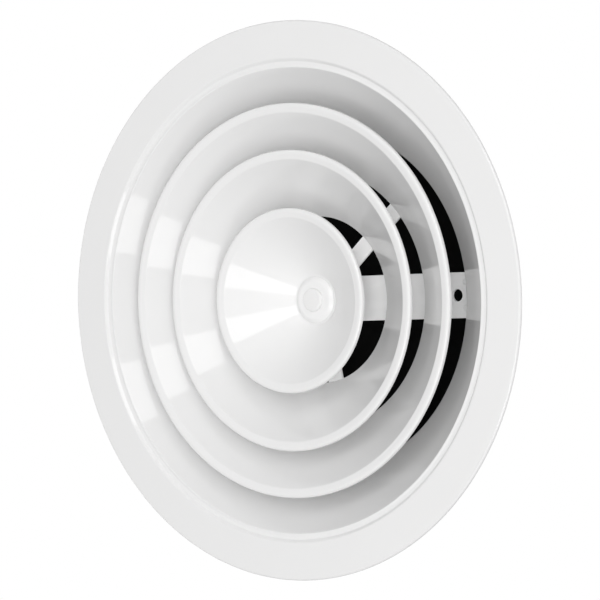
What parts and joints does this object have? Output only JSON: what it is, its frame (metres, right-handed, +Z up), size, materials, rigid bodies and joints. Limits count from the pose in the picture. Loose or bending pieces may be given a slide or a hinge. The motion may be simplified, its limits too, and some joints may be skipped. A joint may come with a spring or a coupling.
{
  "type": "ceiling air diffuser",
  "caption": "Round ceiling air diffuser: flanged bell with a duct spigot and an adjustable core of nested cones on a crossbar screw.",
  "frame": {"origin": "centre of the ceiling plane, which the rim of the face flange and the ceiling gasket rest against", "axes": "+Z up the duct axis, away from the room; +X along the crossbar; the face looks down along -Z"},
  "size_m": [0.3194, 0.3194, 0.08],
  "materials": {
    "white_coat": "satin white powder coat",
    "white_coat_bar": "satin white powder coat on the core frame",
    "galvanised": "zinc coated steel sheet",
    "zinc_steel": "bright zinc plate",
    "spring_steel": "oiled spring steel",
    "aluminium_rivet": "bright",
    "foam": "closed cell foam",
    "cap_plastic": "satin white"
  },
  "bodies": {
    "housing": {"face_flange": "white_coat", "duct_spigot": "galvanised", "neck_rivets": "aluminium_rivet", "ceiling_gasket": "foam", "crossbar": "white_coat_bar", "bar_nut": "zinc_steel"},
    "core": {"outer_cone": "white_coat", "inner_cone": "white_coat", "centre_cone": "white_coat", "core_arm_1": "white_coat_bar", "core_arm_2": "white_coat_bar", "core_arm_3": "white_coat_bar", "hub_plate": "white_coat_bar", "outer_cone_rivets": "aluminium_rivet", "inner_cone_rivets": "aluminium_rivet", "hub_rivets": "aluminium_rivet", "hub_spacer": "zinc_steel", "hub_cup": "white_coat", "hub_ring": "spring_steel"},
    "screw": {"adjusting_screw": "zinc_steel", "thrust_washer": "zinc_steel", "wave_washer": "spring_steel", "retaining_clip": "spring_steel", "stop_nut": "zinc_steel"},
    "cap": {"screw_cap": "cap_plastic"}
  },
  "joints": [
    {"name": "core_lift", "type": "slide", "parent": "housing", "child": "core", "axis": [0, 0, 1], "range_m": [-0.014, 0.009]},
    {"name": "screw_turn", "type": "hinge", "parent": "core", "child": "screw", "pos_m": [0, 0, 0.0294], "axis": [0, 0, 1], "range_deg": [-5041, 3241]},
    {"name": "cap_pull", "type": "slide", "parent": "core", "child": "cap", "axis": [0, 0, 1], "range_m": [-0.03, 0]}
  ],
  "couplings": [
    {"joint": "screw_turn", "follows": "core_lift", "rad_per_m": 6283.2}
  ]
}
